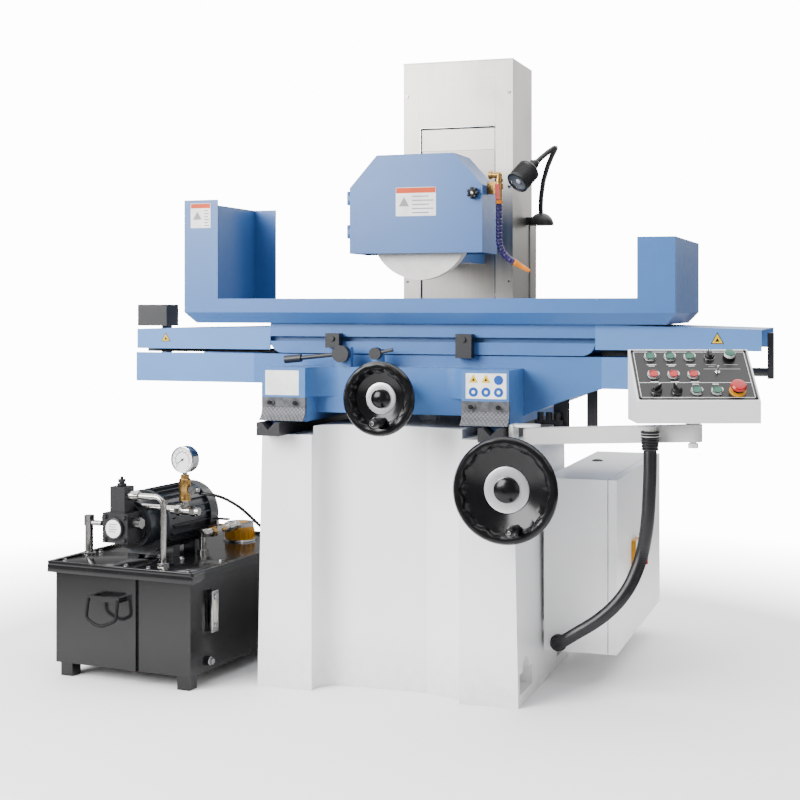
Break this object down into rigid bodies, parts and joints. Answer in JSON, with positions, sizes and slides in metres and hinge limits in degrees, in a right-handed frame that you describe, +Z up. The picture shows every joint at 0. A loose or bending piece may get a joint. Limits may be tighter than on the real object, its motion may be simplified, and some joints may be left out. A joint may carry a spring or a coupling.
{
  "type": "surface grinder",
  "caption": "Hydraulic surface grinder with cross saddle, long table, column wheel head, pendant panel, cabinet and power unit.",
  "frame": {"origin": "on the floor, midway between the four anchor holes of the base", "axes": "+X to the operator's right along the table, +Y to the back along the cross feed, +Z up along the column"},
  "size_m": [2.0113, 1.319, 1.857],
  "materials": {
    "base_paint": "semi-gloss white paint over cast iron and sheet steel",
    "casting_blue": "satin blue paint over cast iron",
    "sheet_blue": "satin blue paint over sheet steel",
    "cover_blue": "satin blue paint on folded covers",
    "way_iron": "ground cast iron with an oil film",
    "column_iron": "primed cast iron",
    "shroud_steel": "satin stainless sheet, brushed upright",
    "screw_steel": "ground steel",
    "handwheel_black": "polished black",
    "grip_black": "moulded black grip",
    "flap_rubber": "moulded rubber with a raised tread",
    "tank_black": "gloss black enamel",
    "motor_black": "black paint on a finned casting",
    "pump_black": "black paint on cast iron",
    "pipe_steel": "zinc and nickel plated fittings",
    "hose_black": "smooth hose cover",
    "conduit_black": "corrugated flexible conduit",
    "wheel_abrasive": "vitrified white aluminium oxide",
    "chuck_steel": "ground steel with brass pole gaps",
    "brass": "machined brass",
    "hose_link": "moulded violet links with an orange nozzle",
    "lamp_black": "satin black",
    "pendant_paint": "white sheet steel with a black panel",
    "arm_paint": "light grey paint",
    "button_green": "moulded green cap",
    "button_red": "moulded red cap",
    "knob_black": "moulded black knob",
    "steel_black": "blackened steel",
    "isolator_red": "moulded red handle"
  },
  "bodies": {
    "machine_base": {"base_casting": "base_paint", "base_ways": "way_iron", "column_casting": "column_iron", "column_shroud": "shroud_steel", "cabinet_shell": "base_paint", "conduit": "conduit_black", "hydraulic_tank": "tank_black", "pump_motor": "motor_black", "vane_pump": "pump_black", "hydraulic_pipes": "pipe_steel", "hydraulic_hoses": "hose_black", "lamp_neck": "lamp_black"},
    "elevating_screw": {"elevating_screw": "screw_steel"},
    "cabinet_door": {"cabinet_door": "base_paint"},
    "isolator_knob": {"isolator_knob": "isolator_red"},
    "pump_coupling": {"pump_coupling": "screw_steel"},
    "saddle": {"saddle_casting": "casting_blue", "saddle_covers": "cover_blue", "way_wipers": "flap_rubber", "table_cylinder": "screw_steel", "oil_distributor": "pipe_steel"},
    "reversing_lever": {"reversing_lever": "steel_black"},
    "start_lever": {"start_lever": "steel_black"},
    "cross_handwheel": {"cross_handwheel": "handwheel_black"},
    "cross_grip": {"cross_grip": "grip_black"},
    "table": {"table_casting": "casting_blue", "table_covers": "cover_blue", "splash_guard": "sheet_blue", "magnetic_chuck": "chuck_steel", "piston_rod": "steel_black"},
    "left_dog": {"left_dog": "steel_black"},
    "right_dog": {"right_dog": "steel_black"},
    "elevating_handwheel": {"elevating_handwheel": "handwheel_black"},
    "elevating_grip": {"elevating_grip": "grip_black"},
    "wheel_head": {"head_casting": "casting_blue", "wheel_guard": "sheet_blue", "spindle_motor": "motor_black", "coolant_valve": "brass"},
    "guard_door": {"guard_door": "sheet_blue"},
    "door_knob": {"door_knob": "knob_black"},
    "spindle": {"spindle": "screw_steel", "grinding_wheel": "wheel_abrasive"},
    "telescopic_cover": {"telescopic_cover": "shroud_steel"},
    "coolant_lever": {"coolant_lever": "isolator_red"},
    "coolant_hose": {"coolant_hose": "hose_link"},
    "lamp_head": {"lamp_head": "lamp_black"},
    "pendant_arm": {"pendant_arm": "arm_paint"},
    "pendant_box": {"pendant_box": "pendant_paint"},
    "start_button_1": {"start_button_1": "button_green"},
    "start_button_2": {"start_button_2": "button_green"},
    "start_button_3": {"start_button_3": "button_green"},
    "stop_button_1": {"stop_button_1": "button_red"},
    "stop_button_2": {"stop_button_2": "button_red"},
    "stop_button_3": {"stop_button_3": "button_red"},
    "jog_button_1": {"jog_button_1": "button_green"},
    "jog_button_2": {"jog_button_2": "button_green"},
    "feed_selector": {"feed_selector": "knob_black"},
    "mode_selector": {"mode_selector": "knob_black"},
    "speed_knob": {"speed_knob": "knob_black"},
    "emergency_stop": {"emergency_stop": "button_red"}
  },
  "joints": [
    {"name": "saddle_slide", "type": "slide", "parent": "machine_base", "child": "saddle", "axis": [0, 1, 0], "range_m": [-0.1, 0.115]},
    {"name": "cross_feed_turn", "type": "hinge", "parent": "saddle", "child": "cross_handwheel", "pos_m": [0.032, -0.437, 0.826], "axis": [0, 1, 0], "range_deg": [-7201, 8281]},
    {"name": "cross_grip_spin", "type": "hinge", "parent": "cross_handwheel", "child": "cross_grip", "pos_m": [0.04242, -0.48, 0.76691], "axis": [0, 1, 0], "continuous": true},
    {"name": "reversing_lever_turn", "type": "hinge", "parent": "saddle", "child": "reversing_lever", "pos_m": [-0.147, -0.26, 0.937], "axis": [0, 1, 0], "range_deg": [-2, 34]},
    {"name": "start_lever_turn", "type": "hinge", "parent": "saddle", "child": "start_lever", "pos_m": [-0.046, -0.26, 0.939], "axis": [0, 1, 0], "range_deg": [-30, 30]},
    {"name": "table_slide", "type": "slide", "parent": "saddle", "child": "table", "axis": [1, 0, 0], "range_m": [-0.4, 0.3]},
    {"name": "left_dog_slide", "type": "slide", "parent": "table", "child": "left_dog", "axis": [1, 0, 0], "range_m": [-0.15, 0.1]},
    {"name": "right_dog_slide", "type": "slide", "parent": "table", "child": "right_dog", "axis": [1, 0, 0], "range_m": [-0.12, 0.3]},
    {"name": "elevating_turn", "type": "hinge", "parent": "machine_base", "child": "elevating_handwheel", "pos_m": [0.374, -0.429, 0.595], "axis": [0, 1, 0], "range_deg": [-36000, 9900]},
    {"name": "elevating_grip_spin", "type": "hinge", "parent": "elevating_handwheel", "child": "elevating_grip", "pos_m": [0.4049, -0.47, 0.49989], "axis": [0, 1, 0], "continuous": true},
    {"name": "head_slide", "type": "slide", "parent": "machine_base", "child": "wheel_head", "axis": [0, 0, 1], "range_m": [-0.0551, 0.2001]},
    {"name": "elevating_screw_turn", "type": "hinge", "parent": "machine_base", "child": "elevating_screw", "pos_m": [0.104, 0.542, 1.112], "axis": [0, 0, 1], "range_deg": [-9901, 36001]},
    {"name": "telescopic_cover_slide", "type": "slide", "parent": "machine_base", "child": "telescopic_cover", "axis": [0, 0, 1], "range_m": [-0.0276, 0.1001]},
    {"name": "spindle_spin", "type": "hinge", "parent": "wheel_head", "child": "spindle", "pos_m": [0, 0.08, 1.3015], "axis": [0, 1, 0], "continuous": true},
    {"name": "guard_door_hinge", "type": "hinge", "parent": "wheel_head", "child": "guard_door", "pos_m": [-0.213, -0.027, 1.3015], "axis": [0, 0, -1], "range_deg": [0, 90]},
    {"name": "door_knob_turn", "type": "hinge", "parent": "guard_door", "child": "door_knob", "pos_m": [0.176, -0.04, 1.3995], "axis": [0, 1, 0], "range_deg": [0, 90]},
    {"name": "coolant_lever_turn", "type": "hinge", "parent": "wheel_head", "child": "coolant_lever", "pos_m": [0.235, 0.02, 1.4195], "axis": [0, 1, 0], "range_deg": [-90, 0]},
    {"name": "coolant_hose_swivel", "type": "hinge", "parent": "wheel_head", "child": "coolant_hose", "pos_m": [0.235, 0.025, 1.3615], "axis": [0, 0, 1], "range_deg": [-60, 30]},
    {"name": "lamp_head_tilt", "type": "hinge", "parent": "machine_base", "child": "lamp_head", "pos_m": [0.259, 0.38, 1.52], "axis": [0.8131, -0.5821, 0], "range_deg": [-20, 20]},
    {"name": "cabinet_door_hinge", "type": "hinge", "parent": "machine_base", "child": "cabinet_door", "pos_m": [0.567, 0.764, 0.3], "axis": [0, 0, 1], "range_deg": [0, 100]},
    {"name": "isolator_turn", "type": "hinge", "parent": "cabinet_door", "child": "isolator_knob", "pos_m": [0.592, 0.24, 0.328], "axis": [1, 0, 0], "range_deg": [0, 90]},
    {"name": "pump_spin", "type": "hinge", "parent": "machine_base", "child": "pump_coupling", "pos_m": [-0.77414, -0.18511, 0.433], "axis": [0.1011, 0.9949, 0], "continuous": true},
    {"name": "pendant_arm_swing", "type": "hinge", "parent": "machine_base", "child": "pendant_arm", "pos_m": [0.412, -0.31, 0.725], "axis": [0, 0, 1], "range_deg": [-35, 6], "deforming": ["conduit"]},
    {"name": "pendant_swivel", "type": "hinge", "parent": "pendant_arm", "child": "pendant_box", "pos_m": [0.84949, -0.411, 0.755], "axis": [0, 0, 1], "range_deg": [-40, 40]},
    {"name": "start_button_1_press", "type": "slide", "parent": "pendant_box", "child": "start_button_1", "axis": [-0.2043, 0.6105, -0.7652], "range_m": [0, 0.004], "stiffness_N_per_m": 400},
    {"name": "start_button_2_press", "type": "slide", "parent": "pendant_box", "child": "start_button_2", "axis": [-0.2043, 0.6105, -0.7652], "range_m": [0, 0.004], "stiffness_N_per_m": 400},
    {"name": "start_button_3_press", "type": "slide", "parent": "pendant_box", "child": "start_button_3", "axis": [-0.2043, 0.6105, -0.7652], "range_m": [0, 0.004], "stiffness_N_per_m": 400},
    {"name": "stop_button_1_press", "type": "slide", "parent": "pendant_box", "child": "stop_button_1", "axis": [-0.2043, 0.6105, -0.7652], "range_m": [0, 0.004], "stiffness_N_per_m": 400},
    {"name": "stop_button_2_press", "type": "slide", "parent": "pendant_box", "child": "stop_button_2", "axis": [-0.2043, 0.6105, -0.7652], "range_m": [0, 0.004], "stiffness_N_per_m": 400},
    {"name": "stop_button_3_press", "type": "slide", "parent": "pendant_box", "child": "stop_button_3", "axis": [-0.2043, 0.6105, -0.7652], "range_m": [0, 0.004], "stiffness_N_per_m": 400},
    {"name": "jog_button_1_press", "type": "slide", "parent": "pendant_box", "child": "jog_button_1", "axis": [-0.2043, 0.6105, -0.7652], "range_m": [0, 0.004], "stiffness_N_per_m": 400},
    {"name": "jog_button_2_press", "type": "slide", "parent": "pendant_box", "child": "jog_button_2", "axis": [-0.2043, 0.6105, -0.7652], "range_m": [0, 0.004], "stiffness_N_per_m": 400},
    {"name": "feed_selector_turn", "type": "hinge", "parent": "pendant_box", "child": "feed_selector", "pos_m": [0.76947, -0.487, 0.86073], "axis": [0.2043, -0.6105, 0.7652], "range_deg": [-45, 45]},
    {"name": "mode_selector_turn", "type": "hinge", "parent": "pendant_box", "child": "mode_selector", "pos_m": [0.81689, -0.47113, 0.86073], "axis": [0.2043, -0.6105, 0.7652], "range_deg": [-45, 45]},
    {"name": "speed_knob_turn", "type": "hinge", "parent": "pendant_box", "child": "speed_knob", "pos_m": [0.88161, -0.34942, 0.94056], "axis": [0.2043, -0.6105, 0.7652], "range_deg": [-135, 135]},
    {"name": "emergency_stop_press", "type": "slide", "parent": "pendant_box", "child": "emergency_stop", "axis": [-0.2043, 0.6105, -0.7652], "range_m": [0, 0.006], "stiffness_N_per_m": 800}
  ],
  "couplings": [
    {"joint": "cross_feed_turn", "follows": "saddle_slide", "rad_per_m": 1256.6},
    {"joint": "head_slide", "follows": "elevating_turn", "m_per_rad": -0.00031831},
    {"joint": "elevating_screw_turn", "follows": "elevating_turn", "ratio": -1},
    {"joint": "telescopic_cover_slide", "follows": "elevating_turn", "m_per_rad": -0.00015915}
  ]
}
